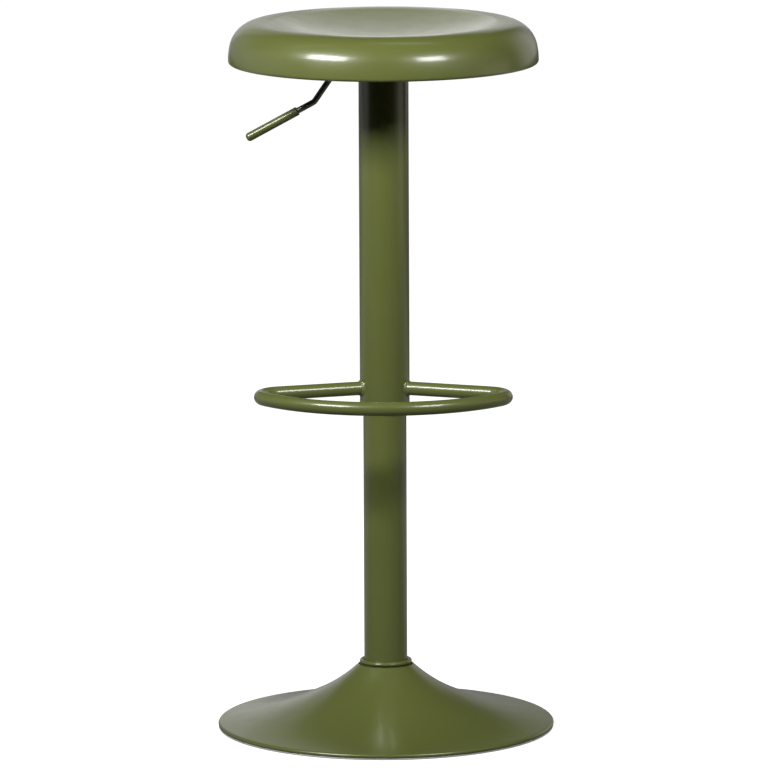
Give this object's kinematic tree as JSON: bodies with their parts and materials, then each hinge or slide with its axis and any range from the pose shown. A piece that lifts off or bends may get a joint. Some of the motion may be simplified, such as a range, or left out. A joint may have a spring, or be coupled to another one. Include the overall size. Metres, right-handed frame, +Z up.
{
  "type": "bar stool",
  "caption": "All-metal bar stool: dished round seat on a gas-lift column with release lever, sliding sleeve with D-shaped footrest, weighted trumpet base; the seat swivels and changes height.",
  "frame": {"origin": "centre of the base on the floor, column axis", "axes": "+Z up along the column, -Y toward the footrest's bow, -X toward the lever"},
  "size_m": [0.39, 0.39, 0.824],
  "materials": {
    "lacquer": "gloss olive-green lacquer",
    "lever_black": "satin near-black lacquer",
    "grip_green": "satin olive-green",
    "gasket": "soft grey strip",
    "zinc_steel": "zinc plated",
    "bearing_steel": "ground and polished",
    "rod_chrome": "hard chrome",
    "column_black": "black baked enamel",
    "alloy": "machined",
    "brass": "machined",
    "plastic": "moulded black acetal",
    "plastic_white": "moulded natural acetal",
    "rubber": "moulded",
    "ballast": "black paint over casting"
  },
  "bodies": {
    "base": {"base_shell": "lacquer", "rim_gasket": "gasket", "collar_ring": "lacquer", "socket_hub": "lacquer", "ballast_disc": "ballast", "hub_bolts": "zinc_steel", "stand_tube": "lacquer", "foot_plate": "zinc_steel", "lower_race": "bearing_steel", "guide_bush": "plastic"},
    "rod": {"piston_rod": "rod_chrome", "upper_race": "bearing_steel", "rod_clip": "zinc_steel", "bump_stop": "rubber", "piston": "alloy", "piston_seal": "rubber"},
    "cage": {"ball_cage": "plastic_white", "bearing_balls": "bearing_steel"},
    "seat": {"gas_cylinder": "column_black", "cylinder_gland": "alloy", "rod_seal": "rubber", "valve_body": "brass", "sleeve_tube": "lacquer", "sleeve_guide": "plastic", "footrest": "lacquer", "footrest_welds": "lacquer", "cone_socket": "column_black", "mount_channel": "column_black", "seat_bolts": "zinc_steel", "weld_nuts": "zinc_steel", "seat_shell": "lacquer", "seat_bracket": "lacquer", "pivot_pin": "zinc_steel", "pivot_clip": "zinc_steel", "lever_spacers": "plastic_white"},
    "lever": {"lever_rocker": "lever_black", "lever_rod": "lever_black", "lever_grip": "grip_green"},
    "button": {"release_pin": "bearing_steel"}
  },
  "joints": [
    {"name": "seat_swivel", "type": "hinge", "parent": "base", "child": "rod", "pos_m": [0, 0, 0.0175], "axis": [0, 0, 1], "continuous": true},
    {"name": "height_adjust", "type": "slide", "parent": "rod", "child": "seat", "axis": [0, 0, 1], "range_m": [-0.21, 0]},
    {"name": "lever_lift", "type": "hinge", "parent": "seat", "child": "lever", "pos_m": [-0.022, 0, 0.7754], "axis": [0, 1, 0], "range_deg": [0, 8]},
    {"name": "button_travel", "type": "slide", "parent": "seat", "child": "button", "axis": [0, 0, -1], "range_m": [0, 0.0033]},
    {"name": "cage_turn", "type": "hinge", "parent": "base", "child": "cage", "pos_m": [0, 0, 0.0175], "axis": [0, 0, 1], "continuous": true}
  ],
  "couplings": [
    {"joint": "button_travel", "follows": "lever_lift", "m_per_rad": 0.0225},
    {"joint": "cage_turn", "follows": "seat_swivel", "ratio": 0.5}
  ]
}
